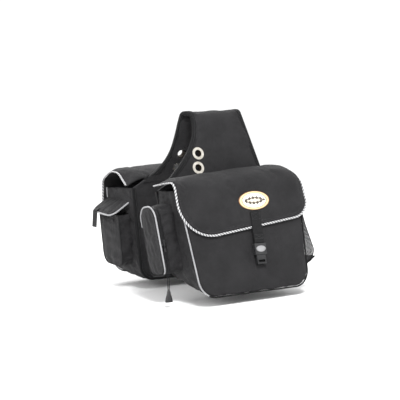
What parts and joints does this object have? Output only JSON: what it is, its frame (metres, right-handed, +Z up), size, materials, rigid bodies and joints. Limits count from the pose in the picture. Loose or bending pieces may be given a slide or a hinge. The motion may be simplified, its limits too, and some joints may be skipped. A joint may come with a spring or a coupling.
{
  "type": "saddle bags",
  "caption": "Pair of black nylon saddle bags on a padded yoke, with flaps, strap buckles, a zip pocket, a flap pocket and mesh bottle pockets.",
  "frame": {"origin": "on the flat underside of the yoke's top, which rests on what holds the bags up", "axes": "+Z up, +X along both bags towards their mesh pockets, -Y towards the near bag"},
  "size_m": [0.3768, 0.4299, 0.3901],
  "materials": {
    "black_nylon": "woven",
    "black_lining": "smooth woven",
    "foam": "foam",
    "black_binding": "ribbed tape",
    "black_webbing": "webbing",
    "grey_piping": "reflective piping",
    "grey_rope": "twisted cord",
    "black_mesh": "mesh",
    "black_cord": "braided",
    "hook_and_loop": "napped",
    "nickel": "polished",
    "emblem_metal": "satin",
    "badge": "embossed",
    "black_plastic": "moulded",
    "zip_tape": "woven tape",
    "black_metal": "satin"
  },
  "bodies": {
    "yoke": {"yoke_outer": "black_nylon", "yoke_foam": "foam", "yoke_lining": "black_lining", "yoke_binding": "black_binding", "grommets": "nickel", "grommet_washers": "nickel"},
    "near_strap": {"near_strap": "black_webbing", "near_buckle_socket": "black_plastic", "near_buckle_emblem": "emblem_metal"},
    "near_flap": {"near_flap": "black_nylon", "near_flap_rope": "grey_rope", "near_badge": "badge"},
    "far_strap": {"far_strap": "black_webbing", "far_buckle_socket": "black_plastic", "far_buckle_emblem": "emblem_metal"},
    "far_flap": {"far_flap": "black_nylon", "far_flap_rope": "grey_rope", "far_badge": "badge"},
    "pocket_flap": {"far_pocket_flap": "black_nylon", "far_pocket_piping": "grey_piping", "far_loop_patch": "hook_and_loop", "far_pull_tab": "black_webbing"},
    "zip_slider": {"near_zip_slider": "black_metal"},
    "zip_puller": {"near_zip_puller": "black_metal"},
    "pull_cord": {"near_cord_left": "black_cord", "near_cord_right": "black_cord", "near_grip": "black_plastic"},
    "near_bag": {"near_anchor_webbing": "black_webbing", "near_back_binding": "black_binding", "near_back_foam": "foam", "near_back_panel": "black_nylon", "near_buckle_prongs": "black_plastic", "near_buckle_tongue": "black_plastic", "near_front_panel": "black_nylon", "near_front_piping": "grey_piping", "near_gusset": "black_nylon", "near_lining": "black_lining", "near_mesh_hem": "black_webbing", "near_mesh_pocket": "black_mesh", "near_mesh_trim": "black_webbing", "near_zip_chain": "black_plastic", "near_zip_gusset": "black_nylon", "near_zip_panel": "black_nylon", "near_zip_piping": "grey_piping", "near_zip_tape": "zip_tape"},
    "far_bag": {"far_anchor_webbing": "black_webbing", "far_back_binding": "black_binding", "far_back_foam": "foam", "far_back_panel": "black_nylon", "far_buckle_prongs": "black_plastic", "far_buckle_tongue": "black_plastic", "far_front_panel": "black_nylon", "far_front_piping": "grey_piping", "far_gusset": "black_nylon", "far_hook_patch": "hook_and_loop", "far_lining": "black_lining", "far_mesh_hem": "black_webbing", "far_mesh_pocket": "black_mesh", "far_mesh_trim": "black_webbing", "far_pocket_body": "black_nylon"}
  },
  "joints": [
    {"name": "near_bag_swing", "type": "hinge", "parent": "yoke", "child": "near_bag", "pos_m": [0, -0.05695, -0.14137], "axis": [-1, 0, 0], "range_deg": [0, 8]},
    {"name": "near_flap_lift", "type": "hinge", "parent": "near_bag", "child": "near_flap", "pos_m": [0, -0.06405, -0.13823], "axis": [-1, 0, 0], "range_deg": [0, 85], "deforming": ["near_buckle_prongs"]},
    {"name": "near_strap_swing", "type": "hinge", "parent": "near_flap", "child": "near_strap", "pos_m": [0.021, -0.183, -0.2081], "axis": [-0.9994, 0.0093, 0.0336], "range_deg": [0, 60]},
    {"name": "far_bag_swing", "type": "hinge", "parent": "yoke", "child": "far_bag", "pos_m": [0, 0.057, -0.14186], "axis": [1, 0, 0], "range_deg": [0, 12]},
    {"name": "far_flap_lift", "type": "hinge", "parent": "far_bag", "child": "far_flap", "pos_m": [0, 0.06442, -0.1396], "axis": [1, 0, 0], "range_deg": [0, 74], "deforming": ["far_buckle_prongs"]},
    {"name": "far_strap_swing", "type": "hinge", "parent": "far_flap", "child": "far_strap", "pos_m": [0, 0.19773, -0.22557], "axis": [1, 0, 0], "range_deg": [0, 60]},
    {"name": "zip_run", "type": "slide", "parent": "near_bag", "child": "zip_slider", "axis": [-0.0842, 0.1559, 0.9842], "range_m": [-0.018, 0.045]},
    {"name": "puller_tip", "type": "hinge", "parent": "zip_slider", "child": "zip_puller", "pos_m": [-0.1828, -0.1476, -0.25728], "axis": [-0.9964, -0.0132, -0.0832], "range_deg": [0, 100]},
    {"name": "cord_hang", "type": "hinge", "parent": "zip_puller", "child": "pull_cord", "pos_m": [-0.18099, -0.15095, -0.27844], "axis": [-0.9964, -0.0132, -0.0832], "range_deg": [-3.2, 7.8]},
    {"name": "pocket_flap_lift", "type": "hinge", "parent": "far_bag", "child": "pocket_flap", "pos_m": [-0.1493, 0.07873, -0.19119], "axis": [0, 0.9994, 0.0349], "range_deg": [0, 80]}
  ],
  "couplings": [
    {"joint": "cord_hang", "follows": "zip_run", "rad_per_m": 3}
  ]
}
